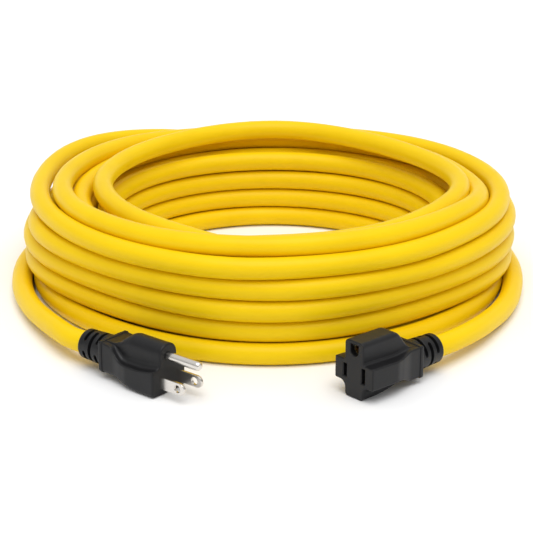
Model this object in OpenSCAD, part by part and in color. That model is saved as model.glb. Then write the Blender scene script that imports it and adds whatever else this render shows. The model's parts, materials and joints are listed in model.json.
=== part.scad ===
// Heavy three-wire power cord: a moulded straight-blade plug and a moulded connector on one
// length of jacketed cord, wound into a round coil that lies on the floor.
// Millimetres, +Z up, origin on the floor under the middle of the whole object's box.

/* [Cord] */
// Diameter of the jacketed cord
cord_d = 11.5; // [11:0.1:11.6]
// Wall thickness of the jacket
jacket_wall = 1.6; // [1.2:0.1:1.6]
// Diameter over the insulation of one conductor
wire_d = 3.7; // [3.2:0.1:3.75]
// Diameter of the stranded copper in one conductor
copper_d = 2.3; // [2:0.1:2.4]

/* [Coil] */
// Outer radius of the coil at the floor
coil_outer_r = 134.5; // [133:0.5:134.5]
// Inner radius of the coil at the floor
coil_inner_r = 90; // [84:1:96]
// Height of the coil at its top ring
coil_h = 64.5; // [62:0.5:68]

/* [Contacts] */
// Width of a flat blade
blade_w = 6.35; // [6.2:0.05:6.5]
// Thickness of a flat blade
blade_t = 1.52; // [1.4:0.02:1.6]
// Length of a flat blade in front of the plug's face
blade_len = 16.6; // [15.9:0.1:18.2]
// Distance between the middles of the two blades
blade_pitch = 12.7; // [12.6:0.1:12.8]
// Diameter of the ground pin
pin_d = 4.76; // [4.7:0.02:4.8]
// Length of the ground pin in front of the plug's face
pin_len = 21.4; // [20:0.1:22]
// Height of the ground pin above the blades' line
ground_rise = 11.9; // [11.8:0.1:12]
// Diameter of the hole in each blade
blade_hole_d = 3.9; // [3.8:0.1:4.1]
// Distance of that hole from the plug's face
blade_hole_x = 11.9; // [11.7:0.1:12.1]

/* [Plug] */
// Width of the plug's face
plug_w = 24; // [23.5:0.5:25]
// Height of the plug's lower edge below the blades' line
plug_drop = 7.5; // [7.3:0.1:7.6]
// Height of the plug's top above the blades' line
plug_top = 18.6; // [18:0.1:19]

/* [Connector] */
// Width of the connector's face
connector_w = 26.6; // [26:0.2:27]
// Height of the connector's lower edge below the slots' line
connector_drop = 13.3; // [13:0.1:13.4]
// Height of the connector's top above the slots' line
connector_top = 16.9; // [16.6:0.1:17.2]

/* [Strain relief] */
// Distance from either face to the cord's end of its strain relief
grip_len = 56.5; // [55:0.5:58]
// Length of the moulded body in front of the strain relief
body_len = 39; // [38.5:0.5:40]
// Diameter of the strain relief at the cord
relief_d = 15.8; // [15:0.1:16.2]

/* [Hidden] */
$fn = 48;

YELLOW = [0.95, 0.8, 0.06];
BLACK = [0.12, 0.12, 0.13];
NICKEL = [0.8, 0.77, 0.73];
BRASS = [0.8, 0.65, 0.3];
COPPER = [0.75, 0.42, 0.25];
WHITE = [0.9, 0.9, 0.88];
GREEN = [0.15, 0.5, 0.25];
GREY = [0.4, 0.4, 0.42];

// The coil's middle on the floor, and where the two faces stand
coil_pos = [0, 19];
plug_pos = [-49.4, -149.2, 7.6];
plug_heading = -40;
connector_pos = [41.5, -156.4, 13.4];
connector_heading = -138.5;

// Height of the cord's axis above the line of the blades or slots
plug_axis_z = 3.9;
connector_axis_z = -1.9;

cord_r = cord_d / 2;
wire_r = wire_d / 2;
copper_r = copper_d / 2;
gap = 0.04;
far = 100;

// The three conductors lie round the cord's axis, the ground one uppermost
bundle_r = wire_r * 1.19;
jacket_end_x = -35;
barrel_r = 2.1;
barrel_len = 7;

// Where the crimp barrels begin behind the plug's face
blade_barrel_x = -22;
pin_barrel_x = -21;

// The connector's contacts lie between these two distances behind its face
contact_x = -15;
contact_front = -3.4;
socket_r = pin_d / 2 + 0.04;

// The block behind either grip: its width, its reach below and above the cord's axis, its corner
// radius, and how far the thin flange at its end stands out
neck_w = 19.4;
neck_drop = 8.1;
neck_rise = 8.5;
neck_corner = 3.5;
neck_front = -27;
flange_t = 2.2;
flange_rim = 0.6;

// Half the width of the raised middle of the plug, of the connector, and of the connector's foot
plug_lobe = 6.3;
connector_lobe = 6.4;
connector_foot = 6.2;

// Stretches of cord that aren't coiled: angle round the coil, radius, height above the floor
// of the cord's underside
plug_route = [
  [120, 128.8, 0.1], [131, 130.8, 0.1], [142, 134.4, 0.1], [153, 138, 0.1], [164, 140.6, 0.1],
  [175, 141.6, 0.1], [186, 142.2, 0.1], [197, 143.8, 0.2], [208, 146.6, 1.1], [217, 150.6, 2.9],
  [226, 156.8, 4.8]
];
connector_route = [
  [165, 136, 45.5], [157, 139.4, 45.9], [149, 142.6, 46.2], [141, 144.4, 46.2],
  [133, 144.3, 45.4], [125, 143, 43.8], [116, 142, 41], [106, 141.5, 36.6], [96, 141.4, 31],
  [86, 141.4, 24.8], [76, 141.4, 18.6], [66, 141.4, 13], [56, 141.4, 8.2], [46, 141.4, 4.4],
  [35, 141.3, 1.7], [22, 141, 0.3], [8, 140.8, 0.1], [-6, 141.2, 0.1], [-20, 143.3, 0.1],
  [-30, 146.2, 0.8], [-38, 149.4, 2.3], [-46, 154.4, 4.1]
];

// Points of a round stretch of an outline
function arc(cx, cy, r, a0, a1, n) =
  [for (i = [0 : n]) let (a = a0 + (a1 - a0) * i / n) [cx + r * cos(a), cy + r * sin(a)]];

// A half outline joined to its own mirror image
function mirrored(half) =
  concat(half, [for (i = [len(half) - 1 : -1 : 0]) [-half[i][0], half[i][1]]]);

function unit(v) = v / norm(v);

// A point at x behind a face, z above its line of contacts
function placed(pos, heading, x, z) = pos + [x * cos(heading), x * sin(heading), z];

function on_coil(p) =
  [coil_pos[0] + p[1] * cos(p[0]), coil_pos[1] + p[1] * sin(p[0]), p[2] + cord_r];

// A lead's points: round the coil, then straight into the end of the strain relief
function lead_points(route, pos, heading, axis_z) = concat(
  [for (p = route) on_coil(p)],
  [placed(pos, heading, -grip_len - cord_d, axis_z - 0.3)],
  [placed(pos, heading, -grip_len, axis_z)]);

// A smooth curve through a list of points, and its direction
function before(p, i) = i > 0 ? p[i - 1] : 2 * p[0] - p[1];
function after(p, i) = i + 2 < len(p) ? p[i + 2] : 2 * p[i + 1] - p[i];
function curve_at(p, i, t) =
  let (a = before(p, i), b = p[i], c = p[i + 1], e = after(p, i))
  0.5 * (2 * b + (c - a) * t + (2 * a - 5 * b + 4 * c - e) * t * t
         + (3 * b - a - 3 * c + e) * t * t * t);
function curve_points(p, steps) = concat(
  [for (i = [0 : len(p) - 2]) for (k = [0 : steps - 1]) curve_at(p, i, k / steps)],
  [p[len(p) - 1]]);
function direction(p, i, first, last) =
  i == 0 ? first : i == len(p) - 1 ? last : unit(p[i + 1] - p[i - 1]);

// ---------- the cord ----------

// A round tube swept along a smooth curve through the points
module sweep(points, r, sides, first, last) {
  path = curve_points(points, 2);
  rings = len(path);
  vertices = [for (i = [0 : rings - 1])
    let (t = direction(path, i, first, last), side = unit(cross(t, [0, 0, 1])), up = cross(side, t))
    for (k = [0 : sides - 1])
      path[i] + r * (sin(360 * k / sides) * side - cos(360 * k / sides) * up)];
  walls = [for (i = [0 : rings - 2]) for (k = [0 : sides - 1])
    let (a = i * sides + k, b = i * sides + (k + 1) % sides) [a, b, b + sides, a + sides]];
  start_cap = [for (k = [sides - 1 : -1 : 0]) k];
  end_cap = [for (k = [0 : sides - 1]) (rings - 1) * sides + k];
  polyhedron(points = vertices, faces = concat(walls, [start_cap, end_cap]), convexity = 6);
}

// Direction of travel round the coil at an angle, clockwise or the other way
function round_coil(angle, sense) = sense * [-sin(angle), cos(angle), 0];

module plug_lead() {
  color(YELLOW)
    sweep(lead_points(plug_route, plug_pos, plug_heading, plug_axis_z), cord_r, 12,
          round_coil(plug_route[0][0], 1), [cos(plug_heading), sin(plug_heading), 0]);
}

module connector_lead() {
  color(YELLOW)
    sweep(lead_points(connector_route, connector_pos, connector_heading, connector_axis_z),
          cord_r, 12, round_coil(connector_route[0][0], -1),
          [cos(connector_heading), sin(connector_heading), 0]);
}

// Room in the coil's outer side for a lead that leaves it: inner radius, angles and heights
module strand_channel(inner_r, from_angle, to_angle, low, high) {
  rotate([0, 0, from_angle])
    rotate_extrude(angle = to_angle - from_angle)
      translate([inner_r, low]) square([coil_outer_r, high - low]);
}

module cord_coil() {
  shoulder_z = coil_h - 7.7;
  clear_r = cord_r + 0.05;
  color(YELLOW)
  translate(coil_pos)
  difference() {
    rotate_extrude(angle = 360)
      polygon([[coil_inner_r, 0], [coil_outer_r, 0], [coil_outer_r, shoulder_z],
               [coil_outer_r - 6, shoulder_z + 1.2], [coil_outer_r - 10, coil_h - 3],
               [coil_outer_r - 15, coil_h], [coil_inner_r + 12, coil_h - 1],
               [coil_inner_r + 7, coil_h - 8], [coil_inner_r + 2, coil_h / 2]]);
    strand_channel(plug_route[0][1] - clear_r, plug_route[0][0], 168, -1, cord_d + 0.2);
    strand_channel(connector_route[0][1] - clear_r, 145, connector_route[0][0],
                   connector_route[0][2] - 0.6, coil_h + 1);
  }
}

// ---------- shapes that both ends share ----------

module at_plug() translate(plug_pos) rotate([0, 0, plug_heading]) children();
module at_connector() translate(connector_pos) rotate([0, 0, connector_heading]) children();

// An outline across the face (y, z), drawn backwards from the face
module along_x(from_x, to_x) translate([from_x, 0, 0]) rotate([90, 0, 90])
  linear_extrude(to_x - from_x) children();
// A side outline (x, z), drawn across a width
module across_y(width) rotate([90, 0, 0]) linear_extrude(width, center = true) children();

module rod(x0, x1, r, y, z) translate([x0, y, z]) rotate([0, 90, 0]) cylinder(h = x1 - x0, r = r);

// A conductor's run: along the cord, then slanting out to its crimp barrel.
// which: -1 and 1 are the two power conductors, 0 the ground one
function conductor_points(which, axis_z, side, barrel_x, back, end_x) =
  let (a = which == 0 ? 90 : (which * side > 0 ? -30 : 210),
       y = bundle_r * cos(a), z = axis_z + bundle_r * sin(a),
       to_y = which * side * blade_pitch / 2, to_z = which == 0 ? ground_rise : 0)
  [[-grip_len - back, y, z], [jacket_end_x - 8, y, z], [jacket_end_x, y, z],
   [barrel_x - 3, to_y, to_z], [end_x, to_y, to_z]];
module conductor(r, which, axis_z, side, barrel_x, back, end_x) {
  sweep(conductor_points(which, axis_z, side, barrel_x, back, end_x), r, 8, [1, 0, 0], [1, 0, 0]);
}

module insulation(which, axis_z, side, barrel_x) difference() {
  conductor(wire_r, which, axis_z, side, barrel_x, 0, barrel_x - 0.5);
  conductor(copper_r + gap, which, axis_z, side, barrel_x, 1, barrel_x + 0.5);
}

module copper(which, axis_z, side, barrel_x)
  conductor(copper_r, which, axis_z, side, barrel_x, 0, barrel_x + barrel_len - 1);

module crimp_barrel(x0, y, z) difference() {
  rod(x0, x0 + barrel_len + 1, barrel_r, y, z);
  rod(x0 - 1, x0 + barrel_len - 1 + gap, copper_r + gap, y, z);
}

// The square room that the moulded body leaves round a crimp barrel
module barrel_room(x0, y, z) {
  room = 2 * (barrel_r + gap);
  along_x(x0 - gap, x0 + barrel_len + 1 + gap) translate([y, z]) square(room, center = true);
}

module jacket_end(axis_z) difference() {
  rod(-grip_len, jacket_end_x, cord_r, 0, axis_z);
  rod(-grip_len - 1, jacket_end_x + 1, cord_r - jacket_wall, 0, axis_z);
}

// The slotted sleeve: three rings of two curved slots, each ring turned by a quarter
module strain_relief(axis_z) {
  base_r = relief_d / 2 + 0.6;
  sleeve_len = grip_len - body_len;
  collar = 3.6;
  slot_w = 1.9;
  slot_pitch = 4.3;
  slot_floor_r = cord_r + 0.8;
  bridge_w = 5.5;
  difference() {
    translate([-grip_len, 0, axis_z]) rotate([0, 90, 0])
      rotate_extrude(angle = 360)
        polygon([[cord_r + gap, 0], [relief_d / 2 - 1, 0], [relief_d / 2, 1],
                 [relief_d / 2, collar], [base_r, sleeve_len - 1], [base_r, sleeve_len],
                 [cord_r + gap, sleeve_len]]);
    for (i = [0 : 2])
      translate([-grip_len + collar + i * slot_pitch, 0, axis_z])
        rotate([i * 90 - 15, 0, 0])
          difference() {
            rod(0, slot_w, 2 * base_r, 0, 0);
            rod(-1, slot_w + 1, slot_floor_r, 0, 0);
            translate([-1, -2 * base_r, -bridge_w / 2]) cube([slot_w + 2, 4 * base_r, bridge_w]);
          }
  }
}

// The block behind the grip, with a thin flange at the strain relief
module neck_outline(axis_z, rim) {
  r = neck_corner + rim;
  side = neck_w / 2 + rim;
  low = axis_z - neck_drop - rim;
  high = axis_z + neck_rise + rim;
  polygon(mirrored(concat([[0, low]], arc(side - r, low + r, r, -90, 0, 5),
                          arc(side - r, high - r, r, 0, 90, 5), [[0, high]])));
}
module neck(axis_z) {
  along_x(-body_len, neck_front) neck_outline(axis_z, 0);
  along_x(-body_len, flange_t - body_len) neck_outline(axis_z, flange_rim);
}

// ---------- the plug ----------

module plug_outline() {
  half = plug_w / 2;
  lobe = plug_lobe;
  polygon(mirrored(concat(
    [[0, -plug_drop]], arc(half - 2.5, -plug_drop + 2.5, 2.5, -90, 0, 5),
    arc(half - 2.2, 4.5, 2.2, 0, 90, 5), arc(lobe + 3, 9.7, 3, 270, 180, 5),
    arc(0, plug_top - lobe, lobe, 0, 90, 8))));
}

module plug_shell() {
  intersection() {
    along_x(-body_len, 0) plug_outline();
    union() {
      across_y(far) polygon([[0, -plug_drop], [0, 6.9], [-5, 5.8], [-12, 5], [-21, 5],
        [-24.5, 5.8], [-28, 8.4], [-31, 11.4], [-31, -4], [-24, -5], [-18, -6.4], [-12, -7.3],
        [-9, -plug_drop]]);
      across_y(2 * plug_lobe + 0.1) polygon([[0, 0], [0, plug_top], [-20, plug_top],
        [-22.5, 18], [-25.5, 16], [-28.5, 13.4], [-32, 12.2], [-32, 0]]);
    }
    linear_extrude(far, center = true) polygon(mirrored([[plug_w / 2, 0], [plug_w / 2, -18],
      [plug_w / 2 - 0.8, -23], [9.9, -30], [9.9, -35]]) * [[0, 1], [1, 0]]);
  }
  neck(plug_axis_z);
}

module plug_wires(r) for (which = [-1, 0, 1])
  conductor(r, which, plug_axis_z, 1, plug_barrel_x(which), 0, plug_barrel_x(which) + 0.5);
function plug_barrel_x(which) = which == 0 ? pin_barrel_x : blade_barrel_x;

// A flat blade with a rounded tip, a hole, and a barrel crimped on its conductor
module blade(y, g) {
  tip_r = blade_w / 2;
  root_len = 15;
  difference() {
    translate([0, y, 0]) across_y(blade_t + 2 * g) {
      translate([-root_len, -blade_w / 2 - g])
        square([root_len + blade_len - tip_r, blade_w + 2 * g]);
      translate([blade_len - tip_r, 0]) circle(r = tip_r + g);
    }
    translate([blade_hole_x, y, 0]) across_y(2 * blade_t) circle(d = blade_hole_d - 2 * g);
  }
}
module plug_blade(y) {
  blade(y, 0);
  crimp_barrel(blade_barrel_x, y, 0);
}

// A round pin with a rounded tip, on a thinner shank inside the moulding
module ground_pin(g) {
  tip = 2.6;
  root_len = 13.5;
  root_r = 1.9 + g;
  r = pin_d / 2 + g;
  end = root_len + pin_len;
  translate([-root_len, 0, ground_rise]) rotate([0, 90, 0]) rotate_extrude(angle = 360)
    polygon([[0, 0], [root_r, 0], [root_r, root_len + 0.3], [r, root_len + 0.5], [r, end - tip],
             [r * 0.93, end - tip * 0.62], [r * 0.72, end - tip * 0.26], [r * 0.4, end],
             [0, end]]);
}

module bridge_block(g) {
  along_x(-12 - g, -2 + g) {
    translate([-9 - g, -4.6 - g]) square([18 + 2 * g, 9.2 + 2 * g]);
    translate([-4.2 - g, 0]) square([8.4 + 2 * g, 15.6 + g]);
  }
}

module plug_body() {
  color(BLACK) at_plug() difference() {
    plug_shell();
    bridge_block(gap);
    blade(blade_pitch / 2, gap);
    blade(-blade_pitch / 2, gap);
    ground_pin(gap);
    for (which = [-1, 0, 1])
      barrel_room(plug_barrel_x(which), which * blade_pitch / 2, which == 0 ? ground_rise : 0);
    plug_wires(wire_r + gap);
    rod(-body_len - 1, jacket_end_x + gap, cord_r + gap, 0, plug_axis_z);
  }
}

module plug_strain_relief() color(BLACK) at_plug() strain_relief(plug_axis_z);

module plug_inner_bridge() {
  color(GREY) at_plug() difference() {
    bridge_block(0);
    blade(blade_pitch / 2, gap);
    blade(-blade_pitch / 2, gap);
    ground_pin(gap);
  }
}

module plug_line_blade() color(NICKEL) at_plug() plug_blade(blade_pitch / 2);
module plug_neutral_blade() color(NICKEL) at_plug() plug_blade(-blade_pitch / 2);
module plug_ground_pin() {
  color(NICKEL) at_plug() {
    ground_pin(0);
    crimp_barrel(pin_barrel_x, 0, ground_rise);
  }
}
module plug_jacket_end() color(YELLOW) at_plug() jacket_end(plug_axis_z);
module plug_insulation(which) at_plug() insulation(which, plug_axis_z, 1, plug_barrel_x(which));
module plug_strands(which) at_plug() copper(which, plug_axis_z, 1, plug_barrel_x(which));

// ---------- the connector ----------

module connector_outline() {
  half = connector_w / 2;
  lobe = connector_lobe;
  foot = connector_foot;
  polygon(mirrored(concat(
    [[0, -connector_drop]], arc(foot - 2, -connector_drop + 2, 2, -90, 0, 4),
    arc(foot + 4.4, -10.2, 4.4, 180, 90, 6), arc(half - 1.5, -4.3, 1.5, -90, 0, 4),
    arc(half - 1.3, 4.5, 1.3, 0, 90, 4), arc(lobe + 2, 7.8, 2, 270, 180, 4),
    arc(lobe - 2.4, connector_top - 2.4, 2.4, 0, 90, 5), [[0, connector_top]])));
}

module connector_shell() {
  intersection() {
    along_x(-body_len, 0) connector_outline();
    across_y(far) polygon([[0, -connector_drop], [0, connector_top], [-22, connector_top],
      [-24.5, 16.2], [-28, 12.4], [-31.5, 7.4], [-31.5, -10], [-26, -10.6], [-20, -11.9],
      [-13, -13], [-8, -connector_drop]]);
    linear_extrude(far, center = true) polygon(mirrored([[connector_w / 2, 0],
      [connector_w / 2, -17], [connector_w / 2 - 1, -22], [9.9, -31], [9.9, -35]])
      * [[0, 1], [1, 0]]);
  }
  neck(connector_axis_z);
}

module connector_wires(r) for (which = [-1, 0, 1])
  conductor(r, which, connector_axis_z, -1, contact_x - barrel_len, 0, contact_x - barrel_len + 0.5);

// Two leaves that grip a flat blade, joined behind it and crimped on the conductor
module blade_contact(y) {
  leaf_t = 0.5;
  grip = blade_t + 0.1;
  outer_w = grip + 2 * leaf_t;
  difference() {
    translate([contact_x, y - outer_w / 2, -blade_w / 2])
      cube([contact_front - contact_x, outer_w, blade_w]);
    translate([contact_x + 1, y - grip / 2, -far / 2]) cube([far, grip, far]);
  }
  crimp_barrel(contact_x - barrel_len, y, 0);
}

// A rolled sleeve with a slit underneath, crimped on the ground conductor
module ground_contact() {
  sleeve_t = 0.6;
  slit_w = 0.8;
  difference() {
    rod(contact_x, contact_front, socket_r + sleeve_t, 0, ground_rise);
    rod(contact_x + 1, contact_front + 1, socket_r, 0, ground_rise);
    translate([contact_x + 1, -slit_w / 2, ground_rise - far]) cube([far, slit_w, far]);
  }
  crimp_barrel(contact_x - barrel_len, 0, ground_rise);
}

module carrier_block(g) {
  along_x(contact_x - g, -2 + g) {
    translate([-10 - g, -4.9 - g]) square([20 + 2 * g, 9.5 + 2 * g]);
    translate([-4.8 - g, 0]) square([9.6 + 2 * g, 15.9 + g]);
  }
}

module connector_openings() {
  line_slot_h = 6.9;
  neutral_slot_h = 8;
  slot_w = 2.2;
  opening_r = 2.8;
  along_x(-3, 1) {
    translate([-blade_pitch / 2 - slot_w / 2, -line_slot_h / 2]) square([slot_w, line_slot_h]);
    translate([blade_pitch / 2 - slot_w / 2, -neutral_slot_h / 2])
      square([slot_w, neutral_slot_h]);
    translate([0, ground_rise]) circle(r = opening_r);
    translate([-opening_r, ground_rise]) square([2 * opening_r, opening_r]);
  }
}

module connector_body() {
  color(BLACK) at_connector() difference() {
    connector_shell();
    carrier_block(gap);
    connector_openings();
    for (which = [-1, 0, 1])
      barrel_room(contact_x - barrel_len, which * blade_pitch / 2, which == 0 ? ground_rise : 0);
    connector_wires(wire_r + gap);
    rod(-body_len - 1, jacket_end_x + gap, cord_r + gap, 0, connector_axis_z);
  }
}

module connector_strain_relief() color(BLACK) at_connector() strain_relief(connector_axis_z);

module connector_contact_carrier() {
  pocket_w = 3.2;
  pocket_h = 8.2;
  color(GREY) at_connector() difference() {
    carrier_block(0);
    for (y = [-blade_pitch / 2, blade_pitch / 2])
      along_x(contact_x - 1, 0) translate([y - pocket_w / 2, -pocket_h / 2])
        square([pocket_w, pocket_h]);
    rod(contact_x - 1, 0, socket_r + 0.75, 0, ground_rise);
  }
}

module connector_line_contact() color(BRASS) at_connector() blade_contact(-blade_pitch / 2);
module connector_neutral_contact() color(BRASS) at_connector() blade_contact(blade_pitch / 2);
module connector_ground_contact() color(BRASS) at_connector() ground_contact();
module connector_jacket_end() color(YELLOW) at_connector() jacket_end(connector_axis_z);
module connector_insulation(which) at_connector()
  insulation(which, connector_axis_z, -1, contact_x - barrel_len);
module connector_strands(which) at_connector()
  copper(which, connector_axis_z, -1, contact_x - barrel_len);

cord_coil();
plug_lead();
connector_lead();
plug_body();
plug_strain_relief();
plug_inner_bridge();
plug_line_blade();
plug_neutral_blade();
plug_ground_pin();
plug_jacket_end();
color(BLACK) plug_insulation(1);  // plug_line_wire
color(WHITE) plug_insulation(-1);  // plug_neutral_wire
color(GREEN) plug_insulation(0);  // plug_ground_wire
color(COPPER) plug_strands(1);  // plug_line_copper
color(COPPER) plug_strands(-1);  // plug_neutral_copper
color(COPPER) plug_strands(0);  // plug_ground_copper
connector_body();
connector_strain_relief();
connector_contact_carrier();
connector_line_contact();
connector_neutral_contact();
connector_ground_contact();
connector_jacket_end();
color(BLACK) connector_insulation(1);  // connector_line_wire
color(WHITE) connector_insulation(-1);  // connector_neutral_wire
color(GREEN) connector_insulation(0);  // connector_ground_wire
color(COPPER) connector_strands(1);  // connector_line_copper
color(COPPER) connector_strands(-1);  // connector_neutral_copper
color(COPPER) connector_strands(0);  // connector_ground_copper
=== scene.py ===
import json
import math

import bmesh
import bpy
import numpy as np
from mathutils import Matrix, Vector


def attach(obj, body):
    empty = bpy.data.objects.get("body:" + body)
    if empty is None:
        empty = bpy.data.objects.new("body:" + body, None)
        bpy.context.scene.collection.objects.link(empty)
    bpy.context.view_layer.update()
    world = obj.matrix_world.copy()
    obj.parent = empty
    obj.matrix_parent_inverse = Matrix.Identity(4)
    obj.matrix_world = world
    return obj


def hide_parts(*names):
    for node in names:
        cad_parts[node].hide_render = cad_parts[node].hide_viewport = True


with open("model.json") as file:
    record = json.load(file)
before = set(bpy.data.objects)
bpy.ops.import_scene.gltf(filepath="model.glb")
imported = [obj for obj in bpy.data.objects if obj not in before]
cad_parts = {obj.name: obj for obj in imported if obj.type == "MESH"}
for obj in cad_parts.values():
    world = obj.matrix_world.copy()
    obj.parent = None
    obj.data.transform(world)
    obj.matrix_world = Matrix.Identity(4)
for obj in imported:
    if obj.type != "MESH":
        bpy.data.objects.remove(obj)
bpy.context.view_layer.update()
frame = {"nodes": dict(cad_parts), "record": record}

# A coiled power cord with a moulded plug and connector, in metres, in the frame of the packed
# model. Each moulded end has a frame of its own, in millimetres: x forward out of its face, y to
# its left, z up from the line of its blades or slots.

MM = 0.001

# ---------- sizes, as in the model ----------

CORD_D = 11.5 * MM
COIL_POS = np.array([0.0, 19.0, 0.0]) * MM

# Each end's place, the way its face looks in degrees, and the height of the cord where it enters.
PLUG = {"pos": (-49.4, -149.2, 7.6), "heading": -40.0, "axis_z": 3.9}
CONNECTOR = {"pos": (41.5, -156.4, 13.4), "heading": -138.5, "axis_z": -1.9}

# An end: its moulding, the flange at the moulding's rear, and the strain relief behind it.
GRIP_LEN = 56.5
BODY_LEN = 39.0
FLANGE_LEN = 2.2
FLANGE_GROW = 0.4
FLANGE_X = FLANGE_LEN - BODY_LEN
RELIEF_D = 15.8

# The plug's blades and ground pin, with how far back their roots reach inside the moulding.
GROUND_RISE = 11.9
BLADE_PITCH = 12.7
BLADE_W = 6.35
BLADE_T = 1.52
BLADE_LEN = 16.6
BLADE_ROOT = -15
BLADE_HOLE_X = 11.9
BLADE_HOLE_D = 3.9
PIN_D = 4.76
PIN_LEN = 21.4
PIN_ROOT = -13.5
PIN_SHANK_R = 1.9

# The openings in the connector's face.
LINE_SLOT = (2.3, 6.9)
NEUTRAL_SLOT = (2.3, 8)
SLOT_LIP = 0.45
SLOT_DEPTH = 14
GROUND_SLOT_R = 2.8
GROUND_SLOT_TOP = 3.1
GROUND_SLOT_LIP = 0.4


# ---------- camera ----------

def make_camera():
    """The photo's view: from the front, a little above."""
    target = Vector((-1.15, 19.0, 5.2)) * MM
    distance = 1035 * MM
    elevation = math.radians(20)
    data = bpy.data.cameras.new("camera")
    data.sensor_width = 36
    data.lens = 119.75
    data.clip_start = 0.01
    data.clip_end = 100
    camera = bpy.data.objects.new("camera", data)
    bpy.context.scene.collection.objects.link(camera)
    back = Vector((0, -math.cos(elevation), math.sin(elevation)))
    camera.location = target + distance * back
    camera.rotation_euler = (-back).to_track_quat("-Z", "Y").to_euler()
    bpy.context.scene.camera = camera


# ---------- the cord's route ----------

# Where the cord isn't coiled: angle round the coil, radius, height of its underside above the
# floor, in degrees and millimetres.
PLUG_ROUTE = [
    (120, 128.8, 0.1), (131, 130.8, 0.1), (142, 134.4, 0.1), (153, 138, 0.1), (164, 140.6, 0.1),
    (175, 141.6, 0.1), (186, 142.2, 0.1), (197, 143.8, 0.2), (208, 146.6, 1.1), (217, 150.6, 2.9),
    (226, 156.8, 4.8)]
CONNECTOR_ROUTE = [
    (165, 136, 45.5), (157, 139.4, 45.9), (149, 142.6, 46.2), (141, 144.4, 46.2),
    (133, 144.3, 45.4), (125, 143, 43.8), (116, 142, 41), (106, 141.5, 36.6), (96, 141.4, 31),
    (86, 141.4, 24.8), (76, 141.4, 18.6), (66, 141.4, 13), (56, 141.4, 8.2), (46, 141.4, 4.4),
    (35, 141.3, 1.7), (22, 141, 0.3), (8, 140.8, 0.1), (-6, 141.2, 0.1), (-20, 143.3, 0.1),
    (-30, 146.2, 0.8), (-38, 149.4, 2.3), (-46, 154.4, 4.1)]

# The turns below the top, in the order they were wound: column (0 outside, 3 inside) and level.
TURNS = [(0, 0), (0, 1), (0, 2), (0, 3), (1, 3), (1, 2), (1, 1), (1, 0), (2, 0), (3, 0),
         (3, 1), (2, 1), (2, 2), (3, 2), (2, 3), (3, 3)]
# The outer column at each level: radius at the sides, at the front and between them, in cord
# diameters; the turns are hand-laid and a little square. At the back all share one radius.
OUTER_ROWS = [(11.35, 11.55, 11.2), (11.75, 11.25, 10.75), (11.8, 11.4, 10.75),
              (11.75, 11.3, 10.9)]
OUTER_BACK = 11.15
# The inner column: its radius at the lowest level, how far it leans towards an angle, and how
# much both grow with each level.
INNER_COLUMN = 3
INNER_RADIUS, INNER_GROWTH = 8.3, 0.28
LEAN, LEAN_GROWTH, LEAN_ANGLE = 0.35, 0.25, 30
LEVEL_RISE = 0.985
# Where a turn changes to the next place: the angle where the change starts, how much earlier each
# one after the third starts than the one before, and how long it takes, in degrees. The cord winds
# towards falling angles.
CHANGE_FROM, CHANGE_EARLIER, CHANGE_LONG = 188, 14, 56
LAST_TURN_LONG = 280
TURN_STEP = 4

# The last turns, between three and four, lie loosely on top: angle, falling from turn to turn,
# radius and height of the cord's middle, in degrees and cord diameters.
TOP_TURNS = [
    (-30, 8.95, 3.5), (-60, 8.85, 3.75), (-90, 8.85, 4.2), (-112, 8.8, 4.7), (-130, 8.65, 4.95),
    (-150, 8.35, 5), (-180, 8.3, 5), (-210, 8.3, 5), (-223, 8.45, 5), (-237, 8.6, 5),
    (-250, 9.05, 5), (-261, 9.3, 5), (-270, 9.45, 5), (-278, 9.5, 5), (-288, 9.25, 5),
    (-300, 9.0, 5), (-313, 8.8, 5), (-328, 8.85, 5), (-343, 9.1, 5), (-357, 9.45, 5),
    (-366, 9.6, 5), (-382, 9.55, 5), (-398, 9.55, 4.97), (-424, 9.6, 4.95), (-450, 9.65, 4.95),
    (-470, 9.7, 4.75), (-490, 9.55, 4.3), (-510, 9.4, 4.2), (-540, 9.4, 4.2), (-570, 9.5, 4.2),
    (-600, 9.9, 4.25), (-630, 10.15, 4.3), (-660, 10.1, 4.3), (-690, 10.05, 4.5),
    (-720, 10.3, 4.55), (-740, 10.35, 4.9), (-780, 10.45, 5.15), (-810, 10.5, 5.2),
    (-840, 10.35, 5.05), (-870, 10.25, 5), (-900, 10.25, 4.95), (-930, 10.3, 4.85),
    (-950, 10.6, 4.6), (-970, 10.9, 4.35), (-990, 11.05, 4.25), (-1010, 11.15, 4.3),
    (-1030, 11.34, 4.42), (-1050, 11.56, 4.44), (-1070, 11.6, 4.44), (-1080, 11.5, 4.44),
    (-1090, 11.4, 4.44), (-1102, 11.2, 4.44), (-1125, 11.02, 4.45), (-1143, 11.06, 4.45),
    (-1170, 11.3, 4.44), (-1183, 11.31, 4.44), (-1206, 11.03, 4.44), (-1230, 11.0, 4.44),
    (-1250, 11.25, 4.44), (-1264, 11.5, 4.45)]


def smooth(t):
    """From 0 to 1 with a soft start and end."""
    t = min(1.0, max(0.0, t))
    return t * t * (3 - 2 * t)


def in_coil(angle, radius, height):
    """A point of the coil from its angle in degrees and its radius and height in diameters."""
    a = math.radians(angle)
    return COIL_POS + CORD_D * np.array([radius * math.cos(a), radius * math.sin(a), height])


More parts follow.
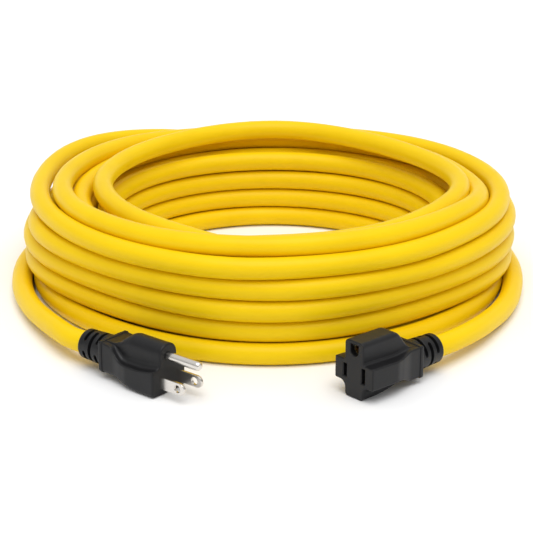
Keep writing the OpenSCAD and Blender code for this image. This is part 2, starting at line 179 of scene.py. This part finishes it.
def place_of_turn(column, level, angle):
    """Radius and height, in diameters, of a turn at an angle."""
    a = math.radians(angle)
    side, front, between = OUTER_ROWS[level]
    if math.sin(a) > 0:
        outer = OUTER_BACK + (side - OUTER_BACK) * math.cos(a) ** 2
    else:
        middle = (side + front) / 2
        outer = (middle + between) / 2 + (middle - between) / 2 * math.cos(4 * a)
        outer += (side - front) / 2 * math.cos(2 * a)
    skew = math.cos(math.radians(angle - LEAN_ANGLE))
    inner = INNER_RADIUS + INNER_GROWTH * level + (LEAN + LEAN_GROWTH * level) * skew
    radius = outer + (inner - outer) * column / INNER_COLUMN
    return np.array([radius, 0.5 + LEVEL_RISE * level])


def coil_points():
    """The turns below the top, one after another, up to where the top turns start."""
    starts = [CHANGE_FROM + CHANGE_EARLIER * max(0, k - 2) - 360 * (k + 1)
              for k in range(len(TURNS) - 1)]
    last = TOP_TURNS[0][0]
    while last > starts[-1] - LAST_TURN_LONG:
        last -= 360
    points = []
    for angle in range(PLUG_ROUTE[0][0] - TURN_STEP, last + 1, -TURN_STEP):
        turn = sum(angle < start - CHANGE_LONG for start in starts)
        place = place_of_turn(*TURNS[turn], angle)
        if turn < len(starts) and angle < starts[turn]:
            t = smooth((starts[turn] - angle) / CHANGE_LONG)
            place = place + (place_of_turn(*TURNS[turn + 1], angle) - place) * t
        points.append(in_coil(angle, *place))
    return points


def end_matrix(end):
    """From an end's own frame in millimetres to the world in metres."""
    return Matrix.Translation(Vector(end["pos"]) * MM) @ Matrix.Rotation(
        math.radians(end["heading"]), 4, "Z") @ Matrix.Scale(MM, 4)


def entry_point(end):
    """Where the cord goes into an end's strain relief."""
    return end_matrix(end) @ Vector((-GRIP_LEN, 0, end["axis_z"]))


def lead_points(route, end):
    """A lead's points: round the coil, then nearly straight into the end's strain relief."""
    around = [in_coil(a, r * MM / CORD_D, z * MM / CORD_D + 0.5) for a, r, z in route]
    sag = 0.3
    approach = end_matrix(end) @ Vector((-GRIP_LEN - CORD_D / MM, 0, end["axis_z"] - sag))
    return around + [np.array(approach), np.array(entry_point(end))]


def through(points, steps):
    """A smooth curve through the points."""
    p = np.array(points)
    p = np.vstack([2 * p[0] - p[1], p, 2 * p[-1] - p[-2]])
    curve = []
    for a, b, c, e in zip(p, p[1:], p[2:], p[3:]):
        for t in np.arange(steps) / steps:
            curve.append(0.5 * (2 * b + (c - a) * t + (2 * a - 5 * b + 4 * c - e) * t * t
                                + (3 * b - a - 3 * c + e) * t ** 3))
    return np.array(curve + [p[-2]])


def run_along(points):
    """How far along the line each of its points is."""
    return np.r_[0, np.cumsum(np.linalg.norm(np.diff(points, axis=0), axis=1))]


def evenly(points, step):
    """The same line, with its points a step apart."""
    run = run_along(points)
    at = np.linspace(0, run[-1], int(round(run[-1] / step)) + 1)
    return np.stack([np.interp(at, run, points[:, k]) for k in range(3)], axis=1)


def every_second(line):
    """The line with every second point left out, but never its last."""
    return line[::2] if len(line) % 2 else np.vstack([line[::2], line[-1]])


def near_pairs(line, reach, skip):
    """Pairs of points closer than reach and further than skip points apart along the cord."""
    found = []
    block = 400
    for start in range(0, len(line), block):
        gap = line[start:start + block, None, :] - line[None, :, :]
        i, j = np.nonzero((gap * gap).sum(-1) < reach * reach)
        i = i + start
        found.append(np.stack([i, j], axis=1)[j - i > skip])
    return np.vstack(found)


def settle(line, freedom, step):
    """Pushes turns that press into each other apart, and keeps the cord stiff and off the floor."""
    rounds, look_again, reach = 90, 10, 1.6 * CORD_D
    push_share, even_share = 1.6, 0.5
    skip = int(4 * CORD_D / step)
    for turn in range(rounds):
        if turn % look_again == 0:
            pairs = near_pairs(line, reach, skip)
        gap = line[pairs[:, 1]] - line[pairs[:, 0]]
        size = np.linalg.norm(gap, axis=1)
        close = size < CORD_D
        one, other = pairs[close].T
        push = 0.5 * (CORD_D - size[close])[:, None] * gap[close] / size[close][:, None]
        shift = np.zeros_like(line)
        count = np.zeros(len(line))
        np.add.at(shift, other, push)
        np.add.at(shift, one, -push)
        np.add.at(count, other, 1)
        np.add.at(count, one, 1)
        shift /= np.maximum(count, 1)[:, None]
        for _ in range(3):
            shift[1:-1] = 0.25 * shift[:-2] + 0.5 * shift[1:-1] + 0.25 * shift[2:]
        line = line + push_share * shift * freedom[:, None]
        for w in (1, 5):
            # each point towards the cubic through its neighbours at both sides
            even = line.copy()
            near = line[w:-3 * w] + line[3 * w:-w]
            even[2 * w:-2 * w] = (4 * near - line[:-4 * w] - line[4 * w:]) / 6
            line = line + even_share * (even - line) * freedom[:, None]
        line[:, 2] = np.maximum(line[:, 2], CORD_D / 2)
    return line


def cord_line():
    """The cord's centreline, from the plug's strain relief to the connector's."""
    plug_side = lead_points(PLUG_ROUTE, PLUG)[::-1]
    turns = coil_points()
    top = [in_coil(*key) for key in TOP_TURNS]
    connector_side = lead_points(CONNECTOR_ROUTE, CONNECTOR)
    steps, spacing = 4, 4 * MM
    curve = through(plug_side + turns + top + connector_side, steps)
    # How freely each stretch may move while it settles: the leads not at all, the top and the four
    # outside turns, which show, only a little.
    outside = 4 * 360 // TURN_STEP
    free = [0.0] * len(plug_side) + [0.05] * outside + [1.0] * (len(turns) - outside)
    free += [0.04] * len(top) + [0.0] * len(connector_side)
    run = run_along(curve)
    line = evenly(curve, spacing)
    at = np.linspace(0, run[-1], len(line))
    freedom = np.interp(at, run[::steps], free)
    # All but the leads and the top may move more at the back, which the camera doesn't see.
    back_freedom, back_from, freer_than = 0.3, 100 * MM, 0.045
    behind = np.clip(line[:, 1] / back_from, 0, 1) * (freedom > freer_than)
    freedom = np.maximum(freedom, back_freedom * behind)
    return settle(line, freedom, spacing)


# ---------- mesh tools ----------

def new_object(name, mesh, matrix=None):
    """An object in the scene, its mesh moved by the matrix if there is one."""
    if matrix is not None:
        mesh.transform(matrix)
    obj = bpy.data.objects.new(name, mesh)
    bpy.context.scene.collection.objects.link(obj)
    return obj


def shade(mesh, sharp=40):
    """Smooth shading, with edges sharper than an angle in degrees kept sharp."""
    mesh.polygons.foreach_set("use_smooth", [True] * len(mesh.polygons))
    mesh.set_sharp_from_angle(angle=math.radians(sharp))


def flatten_face(mesh, end):
    """Shades the flat face of a moulded end flat, up to its rounded edge."""
    same_way = 0.999
    forward = end_matrix(end).to_3x3() @ Vector((1, 0, 0))
    forward.normalize()
    for face in mesh.polygons:
        if abs(face.normal.dot(forward)) > same_way:
            face.use_smooth = False


def loft(name, rings, close_start=True):
    """A mesh through rings of points, all of the same count, closed at its far end."""
    count = len(rings[0])
    verts = [tuple(p) for ring in rings for p in ring]
    faces = []
    for i in range(len(rings) - 1):
        for k in range(count):
            a, b = i * count + k, i * count + (k + 1) % count
            faces.append((a, b, b + count, a + count))
    if close_start:
        faces.append(tuple(range(count - 1, -1, -1)))
    faces.append(tuple(range(len(verts) - count, len(verts))))
    mesh = bpy.data.meshes.new(name)
    mesh.from_pydata(verts, [], faces)
    mesh.validate()
    bm = bmesh.new()
    bm.from_mesh(mesh)
    bmesh.ops.recalc_face_normals(bm, faces=bm.faces)
    bmesh.ops.triangulate(bm, faces=[f for f in bm.faces if len(f.verts) > 4])
    bm.to_mesh(mesh)
    bm.free()
    return mesh


def tube(name, line, radius, sides):
    """A round tube along a line, without twist."""
    ahead = np.gradient(line, axis=0)
    ahead /= np.linalg.norm(ahead, axis=1)[:, None]
    side = np.cross(ahead[0], [0, 0, 1.0])
    rings = []
    angles = 2 * math.pi * np.arange(sides) / sides
    for point, tangent in zip(line, ahead):
        side = side - tangent * side.dot(tangent)
        side /= np.linalg.norm(side)
        up = np.cross(side, tangent)
        round_it = np.cos(angles)[:, None] * side + np.sin(angles)[:, None] * up
        rings.append(point + radius * round_it)
    mesh = loft(name, rings)
    shade(mesh)
    return mesh


def profile(keys):
    """A smooth function through (x, value) keys, given with x falling. It never overshoots."""
    xs = np.array([k[0] for k in keys], float)[::-1]
    ys = np.array([k[1] for k in keys], float)[::-1]
    slope = np.diff(ys) / np.diff(xs)
    inner = [0 if a * b <= 0 else 2 * a * b / (a + b) for a, b in zip(slope, slope[1:])]
    m = [slope[0]] + inner + [slope[-1]]

    def value(x):
        i = min(max(int(np.searchsorted(xs, x)) - 1, 0), len(xs) - 2)
        h = xs[i + 1] - xs[i]
        t = min(1.0, max(0.0, (x - xs[i]) / h))
        return ((2 * t ** 3 - 3 * t * t + 1) * ys[i] + (t ** 3 - 2 * t * t + t) * h * m[i]
                + (3 * t * t - 2 * t ** 3) * ys[i + 1] + (t ** 3 - t * t) * h * m[i + 1])
    return value


def rounded(corners, arc=7, straight=3):
    """A line round corners (y, z, radius) from the first to the last, of a fixed point count."""
    tiny, share = 1e-6, 0.98
    p = [np.array(c[:2], float) for c in corners]
    out = [p[0]]
    for i in range(1, len(p) - 1):
        into, away = p[i] - p[i - 1], p[i + 1] - p[i]
        li, la = np.linalg.norm(into), np.linalg.norm(away)
        room = min(li if i == 1 else li / 2, la if i == len(p) - 2 else la / 2) * share
        if li < tiny or la < tiny:
            cut, turn = 0.0, 0.0
        else:
            cosine = np.clip(into.dot(away) / (li * la), -1, 1)
            turn = math.acos(cosine)
            cut = min(corners[i][2] * math.tan(turn / 2), room)
        a = p[i] - into / max(li, tiny) * cut
        b = p[i] + away / max(la, tiny) * cut
        start = out[-1]
        for k in range(1, straight):
            out.append(start + (a - start) * k / straight)
        # the corner's arc, as a weighted quadratic from a to b
        w = math.cos(turn / 2)
        for k in range(arc + 1):
            t = k / arc
            q = (1 - t) ** 2, 2 * w * t * (1 - t), t * t
            out.append((q[0] * a + q[1] * p[i] + q[2] * b) / sum(q))
    start = out[-1]
    for k in range(1, straight + 1):
        out.append(start + (p[-1] - start) * k / straight)
    return out


def mirrored(half):
    """A ring from half an outline that starts and ends on the middle plane."""
    other = [np.array([-p[0], p[1]]) for p in half[-2:0:-1]]
    return half + other


def inset(ring, amount):
    """A ring moved inwards by an amount along its own normals."""
    p = np.array(ring)
    along = np.roll(p, -1, axis=0) - np.roll(p, 1, axis=0)
    size = np.linalg.norm(along, axis=1)
    size[size < 1e-9] = 1
    normal = np.stack([-along[:, 1], along[:, 0]], axis=1) / size[:, None]
    return p + normal * amount


def body_rings(outline, edge):
    """Rings along a moulded body, with a rounded edge at its face and a flange at its rear."""
    edge_rings, side_rings = 6, 80
    # how far back on the flange, and the share of its growth there
    flange = [(0, 0.0), (0.05, 0.5), (0.2, 0.85), (0.5, 1.0), (FLANGE_LEN - 0.5, 1.0),
              (FLANGE_LEN - 0.2, 0.85), (FLANGE_LEN, 0.5)]
    rings = []
    for k in range(edge_rings):
        t = math.radians(90 * (1 - k / (edge_rings - 1)))
        x = -edge * (1 - math.sin(t))
        rings.append((x, inset(outline(x), edge * (1 - math.cos(t)))))
    for x in np.linspace(-edge, FLANGE_X, side_rings)[1:]:
        rings.append((x, np.array(outline(x))))
    for back, out in flange:
        rings.append((x - back, inset(outline(x), -FLANGE_GROW * out)))
    return [np.array([(x, y, z) for y, z in ring]) for x, ring in rings]


# ---------- materials ----------

def material(name, color, rough, metal=0.0, vary=None, rough_vary=0.05, bumps=(), **sockets):
    """A procedural material: colour and roughness drift with soft noise, and bumps are layered.
    vary is the second colour, bumps holds (scale, detail, strength, distance in metres), and the
    other arguments are the shader's own inputs."""
    mat = bpy.data.materials.new(name)
    mat.use_nodes = True
    nodes, links = mat.node_tree.nodes, mat.node_tree.links
    nodes.clear()
    out = nodes.new("ShaderNodeOutputMaterial")
    shader = nodes.new("ShaderNodeBsdfPrincipled")
    links.new(shader.outputs[0], out.inputs[0])
    place = nodes.new("ShaderNodeTexCoord")

    def noise(scale, detail):
        node = nodes.new("ShaderNodeTexNoise")
        node.inputs["Scale"].default_value = scale
        node.inputs["Detail"].default_value = detail
        links.new(place.outputs["Object"], node.inputs["Vector"])
        return node.outputs["Fac"]

    ramp = nodes.new("ShaderNodeValToRGB")
    ramp.color_ramp.elements[0].position = 0.3
    ramp.color_ramp.elements[1].position = 0.7
    ramp.color_ramp.elements[0].color = (*color, 1)
    ramp.color_ramp.elements[1].color = (*(vary or color), 1)
    links.new(noise(45, 5), ramp.inputs["Fac"])
    links.new(ramp.outputs["Color"], shader.inputs["Base Color"])
    spread = nodes.new("ShaderNodeMapRange")
    spread.inputs["To Min"].default_value = rough - rough_vary
    spread.inputs["To Max"].default_value = rough + rough_vary
    links.new(noise(160, 6), spread.inputs["Value"])
    links.new(spread.outputs["Result"], shader.inputs["Roughness"])
    shader.inputs["Metallic"].default_value = metal
    for socket, value in sockets.items():
        shader.inputs[socket.replace("_", " ")].default_value = value
    normal = None
    for scale, detail, strength, distance in bumps:
        bump = nodes.new("ShaderNodeBump")
        bump.inputs["Strength"].default_value = strength
        bump.inputs["Distance"].default_value = distance
        links.new(noise(scale, detail), bump.inputs["Height"])
        if normal is not None:
            links.new(normal, bump.inputs["Normal"])
        normal = bump.outputs["Normal"]
    if normal is not None:
        links.new(normal, shader.inputs["Normal"])
    return mat


def make_materials():
    return {
        "jacket": material(
            "jacket", (0.86, 0.575, 0.002), 0.38, vary=(0.89, 0.605, 0.003),
            bumps=((60, 2, 0.1, 0.0004), (900, 4, 0.1, 0.0001)), Specular_IOR_Level=0.15),
        "moulded_black": material(
            "moulded_black", (0.006, 0.006, 0.0065), 0.4, vary=(0.010, 0.010, 0.011),
            bumps=((2600, 5, 0.25, 0.00008), (220, 3, 0.1, 0.0003)), Specular_IOR_Level=0.3),
        "inner_moulding": material(
            "inner_moulding", (0.05, 0.05, 0.055), 0.5, vary=(0.07, 0.07, 0.075),
            bumps=((1500, 4, 0.25, 0.0001),)),
        "nickel": material(
            "nickel", (0.72, 0.68, 0.63), 0.24, metal=1.0, vary=(0.8, 0.77, 0.72),
            bumps=((1200, 4, 0.12, 0.00006),)),
        "contact_brass": material(
            "contact_brass", (0.78, 0.58, 0.26), 0.3, metal=1.0, vary=(0.84, 0.66, 0.34),
            bumps=((900, 4, 0.15, 0.00006),)),
        "copper": material(
            "copper", (0.78, 0.36, 0.2), 0.34, metal=1.0, vary=(0.85, 0.45, 0.28),
            bumps=((2200, 3, 0.5, 0.0001),)),
        "black_insulation": material(
            "black_insulation", (0.02, 0.02, 0.02), 0.33, vary=(0.03, 0.03, 0.03),
            bumps=((700, 3, 0.15, 0.0001),)),
        "white_insulation": material(
            "white_insulation", (0.78, 0.78, 0.74), 0.35, vary=(0.84, 0.84, 0.8),
            bumps=((700, 3, 0.15, 0.0001),)),
        "green_insulation": material(
            "green_insulation", (0.02, 0.25, 0.06), 0.35, vary=(0.03, 0.3, 0.08),
            bumps=((700, 3, 0.15, 0.0001),)),
    }


# ---------- the moulded ends ----------

# Both mouldings have a block with a narrower lobe over it, round the ground pin or its socket, and
# the connector also has a foot under its block. Each profile is a height or half width from the
# face back to the flange, and ring gives the whole outline at x.

# The least step of a lobe over its block, so that the outline never folds.
STEP_LEFT = 0.05


def plug_outline():
    block_top = profile([(0, 6.9), (-5, 5.8), (-12, 5), (-21, 5), (-24.5, 5.8), (-28, 8.4),
                         (-31, 11.4), (FLANGE_X, 12.3)])
    bottom = profile([(0, -7.5), (-9, -7.5), (-12, -7.3), (-18, -6.4), (-24, -5), (-31, -4.2),
                      (FLANGE_X, -4.2)])
    lobe_top = profile([(0, 18.6), (-20, 18.6), (-22.5, 18), (-25.5, 16), (-28.5, 13.4),
                        (-32, 12.5), (FLANGE_X, 12.4)])
    half = profile([(0, 12), (-18, 12), (-23, 11.2), (-30, 9.9), (FLANGE_X, 9.7)])
    lobe = 6.3

    def ring(x):
        low = block_top(x)
        top = max(lobe_top(x), low + STEP_LEFT)
        return mirrored(rounded([
            (0, bottom(x), 0), (half(x), bottom(x), 2.6), (half(x), low, 0.7), (lobe, low, 4.8),
            (lobe, top, 6.2), (0, top, 0)]))
    return ring


def connector_outline():
    foot_low = profile([(0, -13.3), (-8, -13.3), (-13, -13), (-20, -11.9), (-26, -10.6),
                        (-31.5, -10.05), (FLANGE_X, -10)])
    block_low = profile([(0, -5.8), (-14, -5.8), (-22, -6.4), (-28, -8.6), (-31.5, -9.9),
                         (FLANGE_X, -9.95)])
    block_top = profile([(0, 5.8), (-12, 5.4), (-20, 5.2), (-26, 5.8), (-31, 6.5),
                         (FLANGE_X, 6.55)])
    lobe_top = profile([(0, 16.9), (-22, 16.9), (-24.5, 16.2), (-28, 12.4), (-31.5, 7.6),
                        (-33.5, 6.7), (FLANGE_X, 6.6)])
    half = profile([(0, 13.3), (-17, 13.3), (-22, 12.3), (-31, 9.9), (FLANGE_X, 9.7)])
    foot, lobe = 6.2, 6.4

    def ring(x):
        low, high = block_low(x), block_top(x)
        top = max(lobe_top(x), high + STEP_LEFT)
        return mirrored(rounded([
            (0, foot_low(x), 0), (foot, foot_low(x), 2), (foot, low, 4.4), (half(x), low, 0.9),
            (half(x), high, 0.8), (lobe, high, 1.6), (lobe, top, 2.4), (0, top, 0)]))
    return ring


def moulded_body(name, outline, end, edge, mat, holes=()):
    """A moulding with the rings of its openings, and a face whose edge is rounded by a radius."""
    mesh = loft(name, body_rings(outline, edge), close_start=False)
    front_face(mesh, holes)
    mesh.transform(end_matrix(end))
    shade(mesh)
    flatten_face(mesh, end)
    mesh.materials.append(mat)
    return new_object(name, mesh)


def opening(y, size):
    """A slot in a face with a small bevelled lip, as rings from the face inwards."""
    def rect(x, grow):
        a, b = size[0] / 2 + grow, size[1] / 2 + grow
        return [(x, y - a, -b), (x, y + a, -b), (x, y + a, b), (x, y - a, b)]
    return [rect(0, SLOT_LIP), rect(-SLOT_LIP, 0), rect(-SLOT_DEPTH, 0)]


def ground_opening():
    """The U-shaped opening for the ground pin, as rings from the face inwards."""
    def ring(x, grow):
        r = GROUND_SLOT_R + grow
        top = GROUND_RISE + GROUND_SLOT_TOP + grow
        arc = [(x, r * math.cos(a), GROUND_RISE + r * math.sin(a))
               for a in np.radians(np.linspace(180, 360, 17))]
        return arc + [(x, r, top), (x, -r, top)]
    return [ring(0, GROUND_SLOT_LIP), ring(-GROUND_SLOT_LIP, 0), ring(-SLOT_DEPTH, 0)]


def front_face(mesh, holes):
    """Closes a moulding's front with a flat face around its openings, and walls the openings."""
    bm = bmesh.new()
    bm.from_mesh(mesh)
    rim = [edge for edge in bm.edges if edge.is_boundary]
    for rings in holes:
        loops = [[bm.verts.new(point) for point in ring] for ring in rings]
        count = len(loops[0])
        for a, b in zip(loops, loops[1:]):
            for k in range(count):
                n = (k + 1) % count
                bm.faces.new((a[k], a[n], b[n], b[k]))
        bm.faces.new(loops[-1])
        rim += [bm.edges.get((loops[0][k], loops[0][(k + 1) % count])) for k in range(count)]
    bmesh.ops.triangle_fill(bm, edges=rim, use_beauty=True)
    bmesh.ops.recalc_face_normals(bm, faces=bm.faces)
    bm.to_mesh(mesh)
    bm.free()


def strain_relief(name, end, mat):
    """A sleeve with three rows of curved slots, made as a grid with the slots pressed in."""
    core, out_r, base_r = CORD_D / MM / 2, RELIEF_D / 2, RELIEF_D / 2 + 0.6
    length = GRIP_LEN - BODY_LEN
    # the rounded end and the wall it leaves there, the mouth inside it, and the flare at the body
    end_len, end_wall, mouth_x, mouth_gap, flare_x = 1.2, 1.0, 0.8, 0.03, 3.4
    # the slots: their rows, the solid bridges between them, and their rounded ends and walls
    rows, slot_w, pitch, first, bridge, turned = 3, 1.9, 4.3, 3.6, 5.5, -15
    end_round, wall_width, reach, floor_wall = 0.9, 0.22, 1.25, 0.5
    around, grid = 160, 0.12

    def radius(x):
        if x < end_len:
            rise = math.sqrt(max(0, 1 - (1 - x / end_len) ** 2))
            return core + end_wall + (out_r - core - end_wall) * rise
        return out_r + (base_r - out_r) * max(0, (x - flare_x) / (length - flare_x))

    def depth(x, angle):
        """How deep a slot is here, from 0 to 1."""
        for row in range(rows):
            middle = first + row * pitch + slot_w / 2
            across = abs(x - middle) / (slot_w / 2)
            if across > reach:
                continue
            turn = math.radians(row * 90 + turned)
            off = abs(math.sin(angle - turn)) * out_r - bridge / 2
            if off < 0:
                return 0
            width = math.sqrt(max(0, 1 - max(0, 1 - off / end_round) ** 2))
            return smooth((width - across) / wall_width + 0.5)
        return 0

    def ring(x, radii):
        return np.array([(x - GRIP_LEN, r * math.cos(a), r * math.sin(a) + end["axis_z"])
                         for r, a in zip(radii, angles)])

    def slotted(x):
        whole = radius(x)
        return [whole - (whole - core - floor_wall) * depth(x, a) for a in angles]

    angles = 2 * math.pi * np.arange(around) / around
    xs = np.unique(np.round(np.concatenate([
        np.linspace(0, end_len, 9), np.arange(end_len, length, grid), [length]]), 4))
    rings = [ring(mouth_x, [core + mouth_gap] * around)] + [ring(x, slotted(x)) for x in xs]
    mesh = loft(name, rings)
    shade(mesh, 50)
    mesh.materials.append(mat)
    return new_object(name, mesh, end_matrix(end))


def lathe(name, keys, y, z, sides=40):
    """A turned shape along x, from (x, radius) keys."""
    angles = 2 * math.pi * np.arange(sides) / sides
    rings = [np.stack([np.full(sides, x), y + r * np.cos(angles), z + r * np.sin(angles)], axis=1)
             for x, r in keys]
    return loft(name, rings)


def blade(name, y, mat):
    """A blade with a rounded tip, softened edges and a hole, from a filled flat curve."""
    edge = 0.22
    curve = bpy.data.curves.new(name, "CURVE")
    curve.dimensions = "2D"
    curve.fill_mode = "BOTH"
    curve.extrude = BLADE_T / 2 - edge
    curve.bevel_depth = edge
    curve.bevel_resolution = 2
    curve.offset = -edge
    half = BLADE_W / 2
    tip = [(BLADE_LEN - half + half * math.cos(a), half * math.sin(a))
           for a in np.radians(np.linspace(-90, 90, 25))]
    outline = [(BLADE_ROOT, -half)] + tip + [(BLADE_ROOT, half)]
    hole = [(BLADE_HOLE_X + BLADE_HOLE_D / 2 * math.cos(a), BLADE_HOLE_D / 2 * math.sin(a))
            for a in 2 * math.pi * np.arange(32) / 32]
    for points in (outline, hole):
        spline = curve.splines.new("POLY")
        spline.points.add(len(points) - 1)
        for point, (px, pz) in zip(spline.points, points):
            point.co = (px, pz, 0, 1)
        spline.use_cyclic_u = True
    flat = bpy.data.objects.new(name, curve)
    bpy.context.scene.collection.objects.link(flat)
    graph = bpy.context.evaluated_depsgraph_get()
    mesh = bpy.data.meshes.new_from_object(flat.evaluated_get(graph))
    bpy.data.objects.remove(flat)
    mesh.transform(Matrix.Translation((0, y, 0)) @ Matrix.Rotation(math.pi / 2, 4, "X"))
    shade(mesh, 35)
    mesh.materials.clear()
    mesh.materials.append(mat)
    return new_object(name, mesh, end_matrix(PLUG))


def ground_pin(name, mat):
    """A round pin with a blunt rounded tip, on a thinner shank inside the moulding."""
    r, tip, tip_end = PIN_D / 2, 2.6, 0.42
    shank_end, full_from = 0.3, 0.5
    keys = [(PIN_ROOT, PIN_SHANK_R), (shank_end, PIN_SHANK_R), (full_from, r)]
    keys += [(PIN_LEN - tip + tip * math.sin(t), r * (tip_end + (1 - tip_end) * math.cos(t)))
             for t in np.radians(np.linspace(0, 90, 9))]
    mesh = lathe(name, keys, 0, GROUND_RISE)
    shade(mesh, 30)
    mesh.materials.append(mat)
    return new_object(name, mesh, end_matrix(PLUG))


# ---------- stage and light ----------

def soft_sun(name, toward, strength, spread):
    """A wide soft light from far away, its strength in watts a square metre, its spread in
    degrees."""
    data = bpy.data.lights.new(name, "SUN")
    data.energy = strength
    data.angle = math.radians(spread)
    light = bpy.data.objects.new(name, data)
    light.rotation_euler = Vector(toward).to_track_quat("Z", "Y").to_euler()
    bpy.context.scene.collection.objects.link(light)


def make_sky():
    """A studio dome: a pale horizon, a dimmer band above it, and bright overhead."""
    world = bpy.data.worlds.new("studio")
    world.use_nodes = True
    nodes, links = world.node_tree.nodes, world.node_tree.links
    place = nodes.new("ShaderNodeTexCoord")
    axes = nodes.new("ShaderNodeSeparateXYZ")
    ramp = nodes.new("ShaderNodeValToRGB")
    links.new(place.outputs["Generated"], axes.inputs[0])
    links.new(axes.outputs["Z"], ramp.inputs["Fac"])
    keys = ramp.color_ramp.elements
    keys.remove(keys[1])
    keys[0].position, keys[0].color = 0.0, (1, 1, 1, 1)
    for height, grey in ((0.15, 1.0), (0.2, 0.3), (0.32, 0.43), (0.7, 0.78)):
        keys.new(height).color = (grey, grey, grey, 1)
    links.new(ramp.outputs["Color"], nodes["Background"].inputs["Color"])
    nodes["Background"].inputs["Strength"].default_value = 1.0
    bpy.context.scene.world = world


def make_stage():
    """A white floor to the horizon, the dome and the key light."""
    bm = bmesh.new()
    bmesh.ops.create_grid(bm, x_segments=8, y_segments=8, size=12)
    mesh = bpy.data.meshes.new("floor")
    bm.to_mesh(mesh)
    bm.free()
    floor = new_object("floor", mesh)
    mesh.materials.append(material("floor_paper", (0.92, 0.92, 0.92), 0.8, rough_vary=0.03,
                                   vary=(0.93, 0.93, 0.93), Specular_IOR_Level=0.2))
    make_sky()
    soft_sun("key", (0.06, -0.3, 1.0), 1.7, 50)
    bpy.context.scene.view_settings.view_transform = "Standard"


# ---------- the whole ----------

def ride(obj, slot, *nodes):
    """A piece of the one body, attached to the root and shown in place of these nodes. The slot is
    not used.
    """
    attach(obj, "root")
    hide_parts(*nodes)
    return obj


make_camera()
MATERIALS = make_materials()
black, nickel = MATERIALS["moulded_black"], MATERIALS["nickel"]

line = cord_line()
cord_mesh = tube("cord", every_second(line), CORD_D / 2, sides=24)
cord_mesh.materials.append(MATERIALS["jacket"])
cord = ride(new_object("cord", cord_mesh), "jacket", "cord_coil", "plug_lead", "connector_lead")

plug_body = moulded_body("plug_moulding", plug_outline(), PLUG, 1.0, black)
ride(plug_body, "moulded_black", "plug_body")
connector_holes = [opening(-BLADE_PITCH / 2, LINE_SLOT), opening(BLADE_PITCH / 2, NEUTRAL_SLOT),
                   ground_opening()]
connector_body = moulded_body("connector_moulding", connector_outline(), CONNECTOR, 0.6, black,
                              connector_holes)
ride(connector_body, "moulded_black", "connector_body")
ride(strain_relief("plug_sleeve", PLUG, black), "moulded_black", "plug_strain_relief")
connector_relief = ride(strain_relief("connector_sleeve", CONNECTOR, black), "moulded_black",
                        "connector_strain_relief")
ride(blade("line_blade", BLADE_PITCH / 2, nickel), "nickel", "plug_line_blade")
ride(blade("neutral_blade", -BLADE_PITCH / 2, nickel), "nickel", "plug_neutral_blade")
ride(ground_pin("ground_pin", nickel), "nickel", "plug_ground_pin")

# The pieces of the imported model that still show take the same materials.
for part in frame["record"]["subparts"]:
    obj = frame["nodes"][part["node"]]
    if not obj.hide_render:
        for spot in obj.material_slots:
            spot.material = MATERIALS[part["material_slot"]]
        if not obj.material_slots:
            obj.data.materials.append(MATERIALS[part["material_slot"]])

make_stage()
